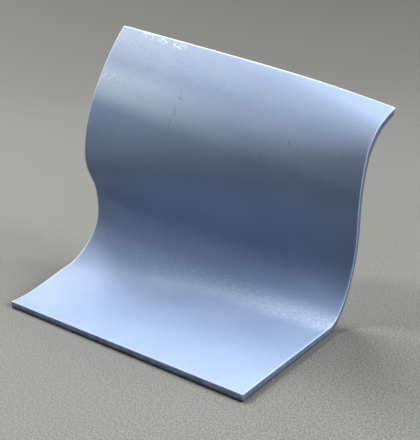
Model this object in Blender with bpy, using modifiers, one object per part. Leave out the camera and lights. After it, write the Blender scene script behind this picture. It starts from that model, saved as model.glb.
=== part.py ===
"""Thermal pad sheet: one soft rectangle of gap filler, bent as it is being laid.

The sheet lies flat along its front, rolls up through two bends into a wall that leans
to the front, and turns away again at the top.  It is made flat first, then bent about
a fan of straight fold lines, so it keeps its cut width and length all the way up.
Beside the first bend its left side is eased off the floor, as soft sheet is when its
upper left corner is pulled.
Metres, +Z up.  The origin is under the middle of the foot, on the floor.  The front edge
lies along X and the sheet runs back from it along +Y.
"""
import math

import bmesh
import bpy
from mathutils import Matrix, Vector

# The cut sheet.
WIDTH = 0.060
LENGTH = 0.080
THICKNESS = 0.0015
EDGE_ROUND = 0.00012

# From the front edge back to the middle of the flat foot, where the origin is.
FOOT_MIDDLE = 0.011

# The bends.  The foot bend starts sharply where the flat foot ends and fades out upwards.
# Each of the others swells and fades evenly about its centre.  START and AT are measured
# along the sheet's middle line from the front edge, RUN is the length of sheet that is
# bent, TURN is in degrees (positive turns up and towards the front), and SKEW is the rise
# of the fold line for each unit across.
FOOT_BEND_START = 0.02195
FOOT_BEND_RUN = 0.0165
FOOT_BEND_TURN = 90.0
FOOT_BEND_SKEW = 0.21

WALL_BEND_AT = 0.0430
WALL_BEND_RUN = 0.0264
WALL_BEND_TURN = 40.0
WALL_BEND_SKEW = 0.06

BELLY_BEND_AT = 0.0611
BELLY_BEND_RUN = 0.0301
BELLY_BEND_TURN = -64.0
BELLY_BEND_SKEW = 0.30

TOP_BEND_AT = 0.0836
TOP_BEND_RUN = 0.0361
TOP_BEND_TURN = -67.0
TOP_BEND_SKEW = -0.25

UPPER_BENDS = (
    (WALL_BEND_AT, WALL_BEND_RUN, WALL_BEND_TURN),
    (BELLY_BEND_AT, BELLY_BEND_RUN, BELLY_BEND_TURN),
    (TOP_BEND_AT, TOP_BEND_RUN, TOP_BEND_TURN),
)
SKEWS = (
    (FOOT_BEND_START, FOOT_BEND_SKEW),
    (WALL_BEND_AT, WALL_BEND_SKEW),
    (BELLY_BEND_AT, BELLY_BEND_SKEW),
    (TOP_BEND_AT, TOP_BEND_SKEW),
)

# The eased left side: its height at the left edge, where along the sheet it is highest
# and where it ends, and how far left of the middle it starts.
EASE_HEIGHT = 0.0042
EASE_PEAK_AT = 0.0213
EASE_END_AT = 0.0392
EASE_START = 0.012
EASE_POWER = 1.5

# How finely the sheet follows its bends.
COLUMNS = 15
ROWS = 80
FOLD_STEP = 0.0005

PAD_COLOUR = (0.42, 0.53, 0.72, 1.0)
PAD_ROUGHNESS = 0.55


def clear_scene():
    for obj in list(bpy.data.objects):
        bpy.data.objects.remove(obj, do_unlink=True)


def smooth(part):
    part = min(max(part, 0.0), 1.0)
    return part * part * (3.0 - 2.0 * part)


def turn_before(along):
    """Turn, in radians, that the sheet has made by this distance along it."""
    part = min(max((along - FOOT_BEND_START) / FOOT_BEND_RUN, 0.0), 1.0)
    degrees = FOOT_BEND_TURN * part * (2.0 - part)
    for centre, length, turn in UPPER_BENDS:
        part = min(max((along - centre) / length + 0.5, 0.0), 1.0)
        degrees += turn * (part - math.sin(2.0 * math.pi * part) / (2.0 * math.pi))
    return math.radians(degrees)


def skew_at(along):
    """Skew of the fold line at this distance, blended from bend to bend."""
    for (low, first), (high, second) in zip(SKEWS, SKEWS[1:]):
        if along <= high:
            return first + (second - first) * (along - low) / (high - low)
    return SKEWS[-1][1]


def fold_lines():
    """Every small fold from front to back: its distance, its skew and the total move."""
    first = FOOT_BEND_START
    last = max(centre + length / 2 for centre, length, _ in UPPER_BENDS)
    count = math.ceil((last - first) / FOLD_STEP)
    step = (last - first) / count
    move = Matrix.Identity(4)
    folds = []
    for index in range(count):
        start = first + index * step
        middle = start + step / 2
        angle = turn_before(start + step) - turn_before(start)
        skew = skew_at(middle)
        hinge = Matrix.Translation((0.0, middle, 0.0))
        turn = Matrix.Rotation(angle, 4, Vector((1.0, skew, 0.0)))
        move = move @ hinge @ turn @ hinge.inverted()
        folds.append((middle, skew, move.copy()))
    return folds


def bend_point(point, folds):
    """Where a point of the flat sheet goes once every fold in front of it is made."""
    moved = point
    for middle, skew, move in folds:
        if point.y <= middle + skew * point.x:
            break
        moved = move @ point
    return moved


def ease_height(point):
    """How far a point of the flat sheet is eased up beside the first bend."""
    across = max((-point.x - EASE_START) / (WIDTH / 2 - EASE_START), 0.0)
    rise = smooth(point.y / EASE_PEAK_AT)
    fall = smooth((point.y - EASE_PEAK_AT) / (EASE_END_AT - EASE_PEAK_AT))
    return EASE_HEIGHT * across ** EASE_POWER * (rise - fall)


def make_sheet(collection):
    mesh = bpy.data.meshes.new("pad_sheet")
    bm = bmesh.new()
    bmesh.ops.create_grid(bm, x_segments=COLUMNS, y_segments=ROWS, size=0.5)
    bmesh.ops.scale(bm, vec=(WIDTH, LENGTH, 1.0), verts=bm.verts)
    bmesh.ops.translate(bm, vec=(0.0, LENGTH / 2, 0.0), verts=bm.verts)
    folds = fold_lines()
    for vert in bm.verts:
        flat = vert.co.copy()
        lift = ease_height(flat) + THICKNESS / 2
        vert.co = bend_point(flat, folds) + Vector((0.0, -FOOT_MIDDLE, lift))
    bm.to_mesh(mesh)
    bm.free()
    for face in mesh.polygons:
        face.use_smooth = True
    sheet = bpy.data.objects.new("pad_sheet", mesh)
    collection.objects.link(sheet)

    body = sheet.modifiers.new("thickness", "SOLIDIFY")
    body.thickness = THICKNESS
    body.offset = 0.0
    body.use_even_offset = True
    cut = sheet.modifiers.new("cut_edges", "BEVEL")
    cut.width = EDGE_ROUND
    cut.segments = 1
    cut.limit_method = "ANGLE"
    cut.angle_limit = math.radians(60.0)
    return sheet


def pad_material():
    material = bpy.data.materials.new("pad_silicone")
    material.use_nodes = True
    shader = material.node_tree.nodes["Principled BSDF"]
    shader.inputs["Base Color"].default_value = PAD_COLOUR
    shader.inputs["Roughness"].default_value = PAD_ROUGHNESS
    shader.inputs["Metallic"].default_value = 0.0
    material.diffuse_color = PAD_COLOUR
    return material


def main():
    clear_scene()
    collection = bpy.data.collections.new("thermal_pad_sheet")
    bpy.context.scene.collection.children.link(collection)
    sheet = make_sheet(collection)
    sheet.data.materials.append(pad_material())


main()
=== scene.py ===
import math

import bmesh
import bpy
from mathutils import Matrix, Vector


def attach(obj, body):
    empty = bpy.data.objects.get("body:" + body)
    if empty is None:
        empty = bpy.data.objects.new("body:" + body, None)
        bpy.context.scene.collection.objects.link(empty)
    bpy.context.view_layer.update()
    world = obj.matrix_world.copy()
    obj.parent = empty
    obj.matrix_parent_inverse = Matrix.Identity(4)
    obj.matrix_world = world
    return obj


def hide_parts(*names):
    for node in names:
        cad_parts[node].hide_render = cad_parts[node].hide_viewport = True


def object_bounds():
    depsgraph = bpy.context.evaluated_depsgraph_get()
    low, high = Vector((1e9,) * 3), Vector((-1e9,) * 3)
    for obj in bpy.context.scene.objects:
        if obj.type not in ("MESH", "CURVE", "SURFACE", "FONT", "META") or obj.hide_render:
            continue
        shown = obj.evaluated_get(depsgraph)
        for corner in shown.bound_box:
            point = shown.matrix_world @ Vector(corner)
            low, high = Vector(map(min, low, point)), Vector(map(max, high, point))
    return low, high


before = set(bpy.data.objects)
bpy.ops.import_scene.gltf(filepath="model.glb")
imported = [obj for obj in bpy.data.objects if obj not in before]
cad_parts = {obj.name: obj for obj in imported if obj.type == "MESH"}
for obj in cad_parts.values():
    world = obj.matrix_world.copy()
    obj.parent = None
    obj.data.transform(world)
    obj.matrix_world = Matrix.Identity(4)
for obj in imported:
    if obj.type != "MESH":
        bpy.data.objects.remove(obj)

cad_low, cad_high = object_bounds()

# The sheet's sizes, metres.  The foot bend is its start, the length that it uses and its
# turn in degrees.  Each upper bend is its centre, its length and its turn.  Each skew is a
# place along the sheet and how far a fold line there runs back for each unit across.  The
# left side is eased off the floor by the height at its edge, most at the peak and not at
# all past the end, starting this far left of the middle and growing by this power.
WIDTH, LENGTH, THICKNESS = 0.060, 0.080, 0.0015
FOOT_MIDDLE = 0.011
FOOT_BEND = (0.02195, 0.0165, 90.0)
UPPER_BENDS = ((0.0430, 0.0264, 40.0), (0.0611, 0.0301, -64.0), (0.0836, 0.0361, -67.0))
SKEWS = ((0.02195, 0.21), (0.0430, 0.06), (0.0611, 0.30), (0.0836, -0.25))
EASE_HEIGHT, EASE_PEAK_AT, EASE_END_AT = 0.0042, 0.0213, 0.0392
EASE_START, EASE_POWER = 0.012, 1.5

# How finely the sheet is made, and how its cut edges are rounded.
COLUMNS, ROWS, FOLD_STEP = 96, 144, 0.00025
EDGE_ROUND, EDGE_SEGMENTS, SHARP_ANGLE = 0.0002, 3, 60.0

# The map "flat" holds centimetres on the flat sheet: the upper face as it lies, the lower
# face shifted to its right, and the rim in a row of its own, with its thickness from 0 to 1.
UV_MAP = "flat"
CM = 100.0
LOWER_SHIFT, RIM_ROW = 10.0, 20.0
WIDTH_CM, LENGTH_CM = WIDTH * CM, LENGTH * CM
FACE_SLOT, RIM_SLOT = 0, 1

# Colours, linear.
PAD_DEEP = (0.243, 0.307, 0.433, 1.0)
PAD_LIGHT = (0.261, 0.327, 0.457, 1.0)
PAD_GRAIN = (0.221, 0.282, 0.403, 1.0)
PAD_PALE = (0.315, 0.385, 0.515, 1.0)
# Painted highlight along the sheet's edges.
PAD_EDGE_HIGHLIGHT = (0.56, 0.63, 0.72, 1.0)
# Whitened marks, and painted glints in the first bend.
PAD_WHITENED_AND_GLINT = (0.66, 0.71, 0.78, 1.0)
# Painted sheen on the first bend and the flap.
PAD_PAINTED_SHEEN = (0.52, 0.60, 0.73, 1.0)
PAD_NICK = (0.10, 0.13, 0.20, 1.0)
EDGE_DARK = (0.125, 0.162, 0.225, 1.0)
EDGE_LIGHT = (0.230, 0.285, 0.375, 1.0)
# Painted shade on the rim: its lower edge and its right side.
EDGE_PAINTED_SHADE = (0.036, 0.048, 0.072, 1.0)
FLOOR_DARK = (0.104, 0.105, 0.101, 1.0)
FLOOR_LIGHT = (0.216, 0.218, 0.211, 1.0)
FLOOR_SOFT = (0.166, 0.168, 0.163, 1.0)
# Painted shade for the floor far from the middle.
FLOOR_PAINTED_SHADE = (0.094, 0.095, 0.092, 1.0)

# The pad's finish, and each bump's distance in metres with its strength.
ROUGH_PLAIN, ROUGH_SHINY, PAD_IOR = 0.52, 0.49, 1.45
PAD_BUMP, RIM_BUMP, FLOOR_BUMP = (0.00006, 0.45), (0.00008, 0.7), (0.00025, 0.35)

# Bands across the sheet, in centimetres along it: where each starts, is full, starts to
# fade and ends.  The first two carry painted sheen; the last two are where it is shinier.
# The shiny flap goes on to the top edge.
SHEEN_BAND_BEND = (2.5, 2.85, 2.95, 3.4)
SHEEN_BAND_FLAP = (6.25, 6.65, 6.9, 7.3)
SHINY_BEND = (1.9, 2.7, 3.6, 4.6)
SHINY_FLAP = (5.6, 6.6)

# Marks on the upper face, in centimetres on the flat sheet, and their widths.
SCRATCHES = (
    ((-2.95, 6.80), (-2.85, 6.95)),
    ((-2.75, 6.85), (-2.60, 7.00)),
)
DARK_NICKS = (
    ((-0.88, 7.12), (-0.86, 6.98)),
    ((-0.86, 6.98), (-0.80, 6.94)),
    ((-0.88, 6.76), (-0.84, 6.64)),
    ((-0.84, 6.64), (-0.90, 6.58)),
    ((-0.88, 6.52), (-0.90, 6.38)),
    ((1.64, 6.86), (1.67, 6.80)),
    ((1.14, 6.50), (1.17, 6.46)),
    ((-2.06, 3.31), (-2.04, 3.27)),
    ((-1.91, 2.16), (-1.89, 2.12)),
    ((0.54, 2.86), (0.57, 2.83)),
)
PRESS_LINES = (
    ((-2.30, 7.96), (-2.10, 7.92)),
    ((-1.88, 7.95), (-1.72, 7.89)),
    ((-1.52, 7.88), (-1.36, 7.83)),
)
PRESSED_PATCH = ((-2.35, 7.97), (-1.30, 7.88))
SCRATCH_WIDTH, NICK_WIDTH = 0.020, 0.015
PRESS_WIDTH, PATCH_WIDTH = 0.026, 0.13

# The floor: flat in the middle, then a gentle sweep, then a straight slope to its rim.
FLOOR_RADIUS, SWEEP_RADIUS, SWEEP_ANGLE, RIM_RADIUS = 0.45, 1.35, 28.0, 1.45
SWEEP_STEPS, FLOOR_SECTORS, WELD_DISTANCE = 24, 96, 1e-5

# The camera: its heading, turned from +Y towards +X, its tilt and roll in degrees, its
# place in metres, its focal length and optical centre in the picture's pixels, the
# picture's size in pixels, the sensor's height in millimetres and the nearest place seen.
CAMERA_YAW, CAMERA_PITCH, CAMERA_ROLL = -38.076, 18.260, -0.786
CAMERA_PLACE = Vector((0.078718, -0.068784 - FOOT_MIDDLE, 0.055036))
FOCAL, CENTRE_X, CENTRE_Y = 623.43, 214.34, 237.50
PICTURE_WIDTH, PICTURE_HEIGHT = 420.0, 440.0
SENSOR_HEIGHT, CLIP_START = 24.0, 0.005

# Softboxes: name, bearing in degrees from the camera's own side round by the left of the
# picture, height in degrees above the floor, the light thrown on a face square to it in
# watts for each square metre, size in metres, and colour.
LIGHT_TARGET = Vector((0.0, 0.005, 0.02))
LIGHT_DISTANCE = 2.0
LIGHTS = (
    ("key", 303.5, 28.0, 4.5, 0.95, (1.0, 0.985, 0.950)),
    ("left", 91.0, 46.0, 1.25, 0.22, (1.0, 1.0, 1.0)),
    ("left_back", 124.0, 35.0, 1.6, 0.95, (1.0, 1.0, 0.985)),
    ("top", 155.0, 62.0, 1.50, 0.85, (1.0, 1.0, 0.985)),
    ("right", 260.0, 45.0, 0.8, 0.85, (1.0, 1.0, 0.985)),
)
WORLD_COLOUR, WORLD_STRENGTH = (0.93, 0.96, 1.0, 1.0), 0.005


def smooth(part):
    """Rise from 0 to 1 with soft ends."""
    part = min(max(part, 0.0), 1.0)
    return part * part * (3.0 - 2.0 * part)


def turn_before(along):
    """Turn, in radians, that the sheet has made by this distance along it."""
    start, run, turn = FOOT_BEND
    part = min(max((along - start) / run, 0.0), 1.0)
    degrees = turn * part * (2.0 - part)
    for centre, run, turn in UPPER_BENDS:
        part = min(max((along - centre) / run + 0.5, 0.0), 1.0)
        degrees += turn * (part - math.sin(2.0 * math.pi * part) / (2.0 * math.pi))
    return math.radians(degrees)


def skew_at(along):
    """Skew of the fold line at this distance, blended from bend to bend."""
    for (low, first), (high, second) in zip(SKEWS, SKEWS[1:]):
        if along <= high:
            return first + (second - first) * (along - low) / (high - low)
    return SKEWS[-1][1]


def fold_lines():
    """Every small fold from front to back: its distance, its skew and the total move."""
    first = FOOT_BEND[0]
    last = max(centre + length / 2 for centre, length, _ in UPPER_BENDS)
    count = math.ceil((last - first) / FOLD_STEP)
    step = (last - first) / count
    move = Matrix.Identity(4)
    folds = []
    for index in range(count):
        start = first + index * step
        middle = start + step / 2
        angle = turn_before(start + step) - turn_before(start)
        skew = skew_at(middle)
        hinge = Matrix.Translation((0.0, middle, 0.0))
        turn = Matrix.Rotation(angle, 4, Vector((1.0, skew, 0.0)))
        move = move @ hinge @ turn @ hinge.inverted()
        folds.append((middle, skew, move.copy()))
    return folds


FOLDS = fold_lines()


def bent(x, y, off):
    """World place of the flat sheet's point (x, y), off to its upper side."""
    flat = Vector((x, y, off))
    moved = flat
    for middle, skew, move in FOLDS:
        if y <= middle + skew * x:
            break
        moved = move @ flat
    across = max((-x - EASE_START) / (WIDTH / 2 - EASE_START), 0.0)
    rise = smooth(y / EASE_PEAK_AT)
    fall = smooth((y - EASE_PEAK_AT) / (EASE_END_AT - EASE_PEAK_AT))
    lift = EASE_HEIGHT * across ** EASE_POWER * (rise - fall)
    return moved + Vector((0.0, -FOOT_MIDDLE, THICKNESS / 2 + lift))


def finish_mesh(bm, name):
    """Turn the finished bmesh into a smooth-shaded object in the scene."""
    mesh = bpy.data.meshes.new(name)
    bm.to_mesh(mesh)
    bm.free()
    for face in mesh.polygons:
        face.use_smooth = True
    made = bpy.data.objects.new(name, mesh)
    bpy.context.scene.collection.objects.link(made)
    return made


def make_pad():
    """The sheet as one closed mesh: a fine face each side and a cut rim between them."""
    bm = bmesh.new()
    half = THICKNESS / 2
    across = [WIDTH * (i / COLUMNS - 0.5) for i in range(COLUMNS + 1)]
    upper, lower = [], []
    for j in range(ROWS + 1):
        y = LENGTH * j / ROWS
        upper.append([bm.verts.new(bent(x, y, half)) for x in across])
        lower.append([bm.verts.new(bent(x, y, -half)) for x in across])
    uv = bm.loops.layers.uv.new(UV_MAP)

    def add_face(corners, slot):
        face = bm.faces.new([vert for vert, _ in corners])
        face.material_index = slot
        for corner, (_, place) in zip(face.loops, corners):
            corner[uv].uv = place

    def on_sheet(j, i, shift):
        return (WIDTH_CM * (i / COLUMNS - 0.5) + shift, LENGTH_CM * j / ROWS)

    for j in range(ROWS):
        for i in range(COLUMNS):
            cells = ((j, i), (j, i + 1), (j + 1, i + 1), (j + 1, i))
            add_face([(upper[a][b], on_sheet(a, b, 0.0)) for a, b in cells], FACE_SLOT)
            add_face([(lower[a][b], on_sheet(a, b, LOWER_SHIFT)) for a, b in reversed(cells)],
                     FACE_SLOT)
    loop = [(0, i) for i in range(COLUMNS)] + [(j, COLUMNS) for j in range(ROWS)]
    loop += [(ROWS, i) for i in range(COLUMNS, 0, -1)] + [(j, 0) for j in range(ROWS, 0, -1)]
    along = 0.0
    for (a, b), (c, d) in zip(loop, loop[1:] + loop[:1]):
        ahead = along + CM * (WIDTH / COLUMNS if a == c else LENGTH / ROWS)
        add_face([(lower[a][b], (along, RIM_ROW)), (lower[c][d], (ahead, RIM_ROW)),
                  (upper[c][d], (ahead, RIM_ROW + 1.0)), (upper[a][b], (along, RIM_ROW + 1.0))],
                 RIM_SLOT)
        along = ahead
    sheet = finish_mesh(bm, "pad_visual")
    round_off = sheet.modifiers.new("cut_edges", "BEVEL")
    round_off.width = EDGE_ROUND
    round_off.segments = EDGE_SEGMENTS
    round_off.limit_method = "ANGLE"
    round_off.angle_limit = math.radians(SHARP_ANGLE)
    return sheet


class Nodes:
    """Small helper for building a material's nodes."""

    def __init__(self, name):
        self.material = bpy.data.materials.new(name)
        self.material.use_nodes = True
        self.tree = self.material.node_tree
        self.shader = self.tree.nodes["Principled BSDF"]

    def add(self, kind, **values):
        node = self.tree.nodes.new(kind)
        for key, value in values.items():
            setattr(node, key, value)
        return node

    def feed(self, socket, value):
        if isinstance(value, bpy.types.NodeSocket):
            self.tree.links.new(value, socket)
        else:
            socket.default_value = value

    def feed_all(self, node, **values):
        """Feed sockets by their names, with an underscore for each space."""
        for name, value in values.items():
            self.feed(node.inputs[name.replace("_", " ")], value)

    def flat(self):
        """Centimetres on the flat sheet."""
        return self.add("ShaderNodeUVMap", uv_map=UV_MAP).outputs["UV"]

    def place(self):
        return self.add("ShaderNodeTexCoord").outputs["Object"]

    def split(self, vector):
        node = self.add("ShaderNodeSeparateXYZ")
        self.feed(node.inputs[0], vector)
        return node.outputs["X"], node.outputs["Y"]

    def vector(self, operation, first, second=None, scale=None):
        node = self.add("ShaderNodeVectorMath", operation=operation)
        self.feed(node.inputs[0], first)
        if second is not None:
            self.feed(node.inputs[1], second)
        if scale is not None:
            self.feed(node.inputs["Scale"], scale)
        return node.outputs["Value" if operation in ("DOT_PRODUCT", "LENGTH") else "Vector"]

    def maths(self, operation, first, second=None):
        node = self.add("ShaderNodeMath", operation=operation)
        self.feed(node.inputs[0], first)
        if second is not None:
            self.feed(node.inputs[1], second)
        return node.outputs[0]

    def times(self, first, second):
        return self.maths("MULTIPLY", first, second)

    def most(self, first, second):
        return self.maths("MAXIMUM", first, second)

    def noise(self, vector, scale, detail, rough, distortion=0.0):
        node = self.add("ShaderNodeTexNoise")
        self.feed_all(node, Vector=vector, Scale=scale, Detail=detail, Roughness=rough,
                      Distortion=distortion)
        return node.outputs["Fac"]

    def stretched_noise(self, flat, across, along, detail, rough, distortion):
        """Noise with this many grains for each centimetre across and along the sheet."""
        scaled = self.vector("MULTIPLY", flat, (across, along, 1.0))
        return self.noise(scaled, 1.0, detail, rough, distortion)

    def shifted(self, vector, scale, reach):
        """The places moved about at random by up to half of reach."""
        node = self.add("ShaderNodeTexNoise")
        self.feed_all(node, Vector=vector, Scale=scale)
        about_zero = self.vector("SUBTRACT", node.outputs["Color"], (0.5, 0.5, 0.5))
        return self.vector("ADD", vector, self.vector("SCALE", about_zero, scale=reach))

    def ramp(self, source, low, high, out_low, out_high, smooth_ends=False):
        node = self.add("ShaderNodeMapRange")
        if smooth_ends:
            node.interpolation_type = "SMOOTHSTEP"
        self.feed_all(node, Value=source, From_Min=low, From_Max=high, To_Min=out_low,
                      To_Max=out_high)
        return node.outputs["Result"]

    def band(self, source, limits):
        """0 outside the four limits, 1 between the inner two, with soft sides."""
        start, full, fade, end = limits
        return self.times(self.ramp(source, start, full, 0.0, 1.0, True),
                          self.ramp(source, fade, end, 1.0, 0.0, True))

    def mix(self, factor, first, second):
        node = self.add("ShaderNodeMix", data_type="RGBA")
        for index, value in ((0, factor), (6, first), (7, second)):
            self.feed(node.inputs[index], value)
        return node.outputs[2]

    def bump(self, height, reach):
        """Reach is the bump's distance in metres and its strength."""
        distance, strength = reach
        node = self.add("ShaderNodeBump")
        self.feed_all(node, Height=height, Distance=distance, Strength=strength)
        return node.outputs["Normal"]

    def stroke(self, flat, start, end, width):
        """1 on a thin line between two places of the flat sheet, in centimetres."""
        run = Vector((end[0] - start[0], end[1] - start[1], 0.0))
        from_start = self.vector("SUBTRACT", flat, (start[0], start[1], 0.0))
        share = self.vector("DOT_PRODUCT", from_start, tuple(run / run.length_squared))
        share = self.maths("MINIMUM", self.most(share, 0.0), 1.0)
        nearest = self.vector("SCALE", tuple(run), scale=share)
        gap = self.vector("LENGTH", self.vector("SUBTRACT", from_start, nearest))
        return self.ramp(gap, width * 0.35, width, 1.0, 0.0)

    def strokes(self, flat, lines, width):
        masks = [self.stroke(flat, start, end, width) for start, end in lines]
        whole = masks[0]
        for mask in masks[1:]:
            whole = self.most(whole, mask)
        return whole


def pad_face_material():
    n = Nodes("pad_silicone")
    place, flat = n.place(), n.flat()
    x, y = n.split(flat)
    cloud = n.noise(place, 90.0, 3.0, 0.55)
    grain = n.noise(place, 3200.0, 2.0, 0.6)
    streaks = n.stretched_noise(flat, 9.0, 26.0, 3.0, 0.6, 0.4)

    colour = n.mix(n.ramp(cloud, 0.35, 0.65, 0.0, 1.0), PAD_DEEP, PAD_LIGHT)
    colour = n.mix(n.ramp(grain, 0.45, 0.75, 0.0, 0.30), colour, PAD_GRAIN)
    colour = n.mix(n.ramp(streaks, 0.52, 0.75, 0.0, 0.22), colour, PAD_PALE)

    # Painted highlight: the border of the upper face is painted pale, most of all on the left
    # and at the top.
    # The lower face lies past that border on the map, so it gets a faint painted highlight all
    # over.
    side = n.maths("SUBTRACT", WIDTH_CM / 2, n.maths("ABSOLUTE", x))
    end = n.maths("MINIMUM", y, n.maths("SUBTRACT", LENGTH_CM, y))
    border = n.maths("MINIMUM", side, end)
    border = n.maths("ADD", border, n.ramp(grain, 0.3, 0.7, -0.008, 0.008))
    edge_highlight = n.most(n.ramp(x, -2.95, -2.90, 0.70, 0.0), n.ramp(y, 7.90, 7.95, 0.10, 0.70))
    edge_highlight = n.times(n.ramp(border, 0.018, 0.040, 1.0, 0.0), edge_highlight)
    colour = n.mix(edge_highlight, colour, PAD_EDGE_HIGHLIGHT)

    # Painted sheen: pale streaky bands on the first bend and on the flap.  The first bend has
    # painted glints too, at its right end on the upper face and all along it on the lower face.
    bend_sheen = n.times(n.band(y, SHEEN_BAND_BEND), n.ramp(x, -2.6, 2.9, 0.35, 1.0))
    glint = n.stretched_noise(flat, 16.0, 30.0, 3.0, 0.65, 1.5)
    glint = n.times(n.ramp(glint, 0.50, 0.66, 0.0, 1.0), bend_sheen)
    glint = n.times(glint, n.ramp(x, 1.6, 2.95, 0.04, 0.55, True))
    flap_sheen = n.times(n.band(y, SHEEN_BAND_FLAP), n.ramp(x, -2.7, 0.8, 1.0, 0.40, True))
    bend_sheen = n.times(bend_sheen, n.ramp(streaks, 0.36, 0.68, 0.06, 0.40))
    flap_sheen = n.times(flap_sheen, n.ramp(streaks, 0.30, 0.75, 0.42, 0.62))
    # Painted sheen on the bend and the flap.
    colour = n.mix(n.most(bend_sheen, flap_sheen), colour, PAD_PAINTED_SHEEN)
    # Painted glints in the first bend.
    colour = n.mix(glint, colour, PAD_WHITENED_AND_GLINT)

    # Marks: where it was pressed at the top edge, two scratches and a few dark nicks.
    wavy = n.shifted(flat, 7.0, 0.06)
    smudge = n.stretched_noise(wavy, 9.0, 16.0, 3.0, 0.6, 1.2)
    patch = n.stroke(flat, *PRESSED_PATCH, PATCH_WIDTH)
    patch = n.times(patch, n.ramp(smudge, 0.48, 0.64, 0.0, 0.7))
    lines = n.strokes(wavy, PRESS_LINES, PRESS_WIDTH)
    lines = n.times(lines, n.ramp(smudge, 0.36, 0.56, 0.15, 0.9))
    pressed = n.most(patch, lines)
    scratched = n.strokes(wavy, SCRATCHES, SCRATCH_WIDTH)
    scratched = n.times(scratched, n.ramp(streaks, 0.35, 0.60, 0.30, 0.65))
    nicked = n.strokes(wavy, DARK_NICKS, NICK_WIDTH)
    nick_depth = n.ramp(streaks, 0.36, 0.60, 0.25, 0.65)
    colour = n.mix(n.times(nicked, nick_depth), colour, PAD_NICK)
    colour = n.mix(n.times(pressed, 0.75), colour, PAD_WHITENED_AND_GLINT)
    colour = n.mix(scratched, colour, PAD_WHITENED_AND_GLINT)
    n.feed(n.shader.inputs["Base Color"], colour)

    # The sheet is a little shinier in the first bend and on the flap.
    shiny = n.most(n.band(y, SHINY_BEND), n.ramp(y, *SHINY_FLAP, 0.0, 0.7, True))
    rough = n.ramp(shiny, 0.0, 1.0, ROUGH_PLAIN, ROUGH_SHINY)
    rough = n.maths("ADD", rough, n.ramp(streaks, 0.35, 0.70, 0.05, -0.06))
    n.feed(n.shader.inputs["Roughness"], rough)
    n.shader.inputs["IOR"].default_value = PAD_IOR

    height = n.maths("ADD", n.times(grain, 0.35), n.times(streaks, 0.65))
    height = n.maths("ADD", height, n.times(pressed, 0.8))
    height = n.maths("SUBTRACT", height, n.times(nicked, 1.2))
    n.feed(n.shader.inputs["Normal"], n.bump(height, PAD_BUMP))
    return n.material


def pad_edge_material():
    """The cut rim, with a painted contact shadow along its lower edge and painted shade all
    down the right side.
    """
    n = Nodes("pad_cut_edge")
    place, flat = n.place(), n.flat()
    right_start, right_end, blend = WIDTH_CM, WIDTH_CM + LENGTH_CM, 0.02
    along, up = n.split(flat)
    up = n.maths("SUBTRACT", up, RIM_ROW)
    blotch = n.noise(place, 700.0, 3.0, 0.6)
    knife = n.stretched_noise(flat, 28.0, 1.2, 2.0, 0.5, 0.3)
    colour = n.mix(n.ramp(blotch, 0.35, 0.65, 0.0, 1.0), EDGE_DARK, EDGE_LIGHT)
    colour = n.mix(n.ramp(knife, 0.45, 0.75, 0.0, 0.5), colour, EDGE_DARK)
    # Painted contact shadow along the lower edge.
    colour = n.mix(n.ramp(up, 0.12, 0.50, 0.92, 0.0, True), colour, EDGE_PAINTED_SHADE)
    # Painted shade all down the right side.
    right_shade = n.times(n.ramp(along, right_start - blend, right_start + blend, 0.0, 0.75),
                         n.ramp(along, right_end - blend, right_end + blend, 1.0, 0.0))
    colour = n.mix(right_shade, colour, EDGE_PAINTED_SHADE)
    # Painted highlight along the rim's top edge.
    colour = n.mix(n.ramp(up, 0.88, 0.99, 0.0, 0.20), colour, PAD_EDGE_HIGHLIGHT)
    n.feed(n.shader.inputs["Base Color"], colour)
    n.feed(n.shader.inputs["Roughness"], n.ramp(blotch, 0.3, 0.7, 0.5, 0.7))
    height = n.maths("ADD", blotch, n.times(knife, 0.6))
    n.feed(n.shader.inputs["Normal"], n.bump(height, RIM_BUMP))
    return n.material


def floor_material():
    """Matte grey with a fine grain, and painted shade that makes it a little darker away from
    the middle.
    """
    n = Nodes("floor_matte")
    place = n.place()
    cloud = n.noise(place, 9.0, 3.0, 0.5)
    grain = n.noise(place, 3000.0, 2.0, 0.65)
    colour = n.mix(n.ramp(grain, 0.36, 0.66, 0.0, 1.0), FLOOR_DARK, FLOOR_LIGHT)
    colour = n.mix(n.ramp(cloud, 0.35, 0.65, 0.0, 0.25), colour, FLOOR_SOFT)
    # Painted shade: darker away from the middle.
    away = n.vector("LENGTH", place)
    colour = n.mix(n.ramp(away, 0.15, 1.20, 0.0, 0.95), colour, FLOOR_PAINTED_SHADE)
    n.feed(n.shader.inputs["Base Color"], colour)
    n.feed(n.shader.inputs["Roughness"], n.ramp(grain, 0.3, 0.7, 0.6, 0.8))
    n.feed(n.shader.inputs["Normal"], n.bump(grain, FLOOR_BUMP))
    return n.material


def make_floor():
    """A round floor that curves up very gently into a plain backdrop, all in one piece."""
    profile = [(0.0, 0.0), (FLOOR_RADIUS / 3, 0.0), (FLOOR_RADIUS, 0.0)]
    slope = math.radians(SWEEP_ANGLE)
    for step in range(1, SWEEP_STEPS + 1):
        turn = slope * step / SWEEP_STEPS
        across = FLOOR_RADIUS + SWEEP_RADIUS * math.sin(turn)
        rise = SWEEP_RADIUS * (1.0 - math.cos(turn))
        profile.append((across, rise))
    profile.append((RIM_RADIUS, rise + (RIM_RADIUS - across) * math.tan(slope)))
    bm = bmesh.new()
    verts = [bm.verts.new((across, 0.0, rise)) for across, rise in profile]
    edges = [bm.edges.new(pair) for pair in zip(verts, verts[1:])]
    bmesh.ops.spin(bm, geom=verts + edges, cent=(0.0, 0.0, 0.0), axis=(0.0, 0.0, 1.0),
                   angle=math.radians(360.0), steps=FLOOR_SECTORS)
    bmesh.ops.remove_doubles(bm, verts=bm.verts, dist=WELD_DISTANCE)
    bmesh.ops.recalc_face_normals(bm, faces=bm.faces)
    floor = finish_mesh(bm, "floor")
    floor.location.z = cad_low[2]
    floor.data.materials.append(floor_material())


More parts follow.
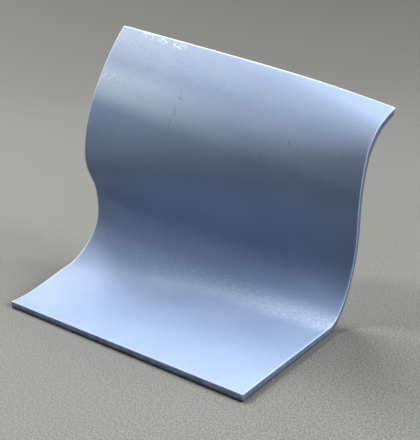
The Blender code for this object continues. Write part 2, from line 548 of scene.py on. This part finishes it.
def softbox(name, bearing, height, strength, size, colour):
    """A square softbox that faces the sheet."""
    yaw, turn, rise = (math.radians(v) for v in (CAMERA_YAW, bearing, height))
    front = Vector((-math.sin(yaw), -math.cos(yaw), 0.0))
    left = Vector((-math.cos(yaw), math.sin(yaw), 0.0))
    way = (front * math.cos(turn) + left * math.sin(turn)) * math.cos(rise)
    way.z = math.sin(rise)
    light = bpy.data.lights.new(name, "AREA")
    light.shape = "SQUARE"
    light.size = size
    light.energy = strength * math.pi * LIGHT_DISTANCE ** 2
    light.color = colour
    lamp = bpy.data.objects.new(name, light)
    bpy.context.scene.collection.objects.link(lamp)
    lamp.location = LIGHT_TARGET + way * LIGHT_DISTANCE
    lamp.rotation_euler = way.to_track_quat("Z", "Y").to_euler()


def make_lights():
    for light in LIGHTS:
        softbox(*light)
    world = bpy.data.worlds.new("studio")
    world.use_nodes = True
    background = world.node_tree.nodes["Background"]
    background.inputs["Color"].default_value = WORLD_COLOUR
    background.inputs["Strength"].default_value = WORLD_STRENGTH
    bpy.context.scene.world = world


def make_camera():
    yaw, pitch, roll = (math.radians(v) for v in (CAMERA_YAW, CAMERA_PITCH, CAMERA_ROLL))
    forward = Vector((math.sin(yaw) * math.cos(pitch), math.cos(yaw) * math.cos(pitch),
                      -math.sin(pitch)))
    right = Vector((math.cos(yaw), -math.sin(yaw), 0.0))
    up = right.cross(forward)
    side = right * math.cos(roll) + up * math.sin(roll)
    top = up * math.cos(roll) - right * math.sin(roll)
    data = bpy.data.cameras.new("photo_camera")
    data.sensor_fit = "VERTICAL"
    data.sensor_height = SENSOR_HEIGHT
    data.lens = FOCAL * SENSOR_HEIGHT / PICTURE_HEIGHT
    data.shift_x = (PICTURE_WIDTH / 2 - CENTRE_X) / PICTURE_HEIGHT
    data.shift_y = (CENTRE_Y - PICTURE_HEIGHT / 2) / PICTURE_HEIGHT
    data.clip_start = CLIP_START
    camera = bpy.data.objects.new("photo_camera", data)
    bpy.context.scene.collection.objects.link(camera)
    turn = Matrix((side, top, -forward)).transposed().to_4x4()
    camera.matrix_world = Matrix.Translation(CAMERA_PLACE) @ turn
    bpy.context.scene.camera = camera
    view = bpy.context.scene.view_settings
    view.view_transform = "Standard"
    view.look = "High Contrast"


make_camera()
pad = make_pad()
pad.data.materials.append(pad_face_material())
pad.data.materials.append(pad_edge_material())
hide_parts("pad_sheet")
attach(pad, "root")
make_floor()
make_lights()
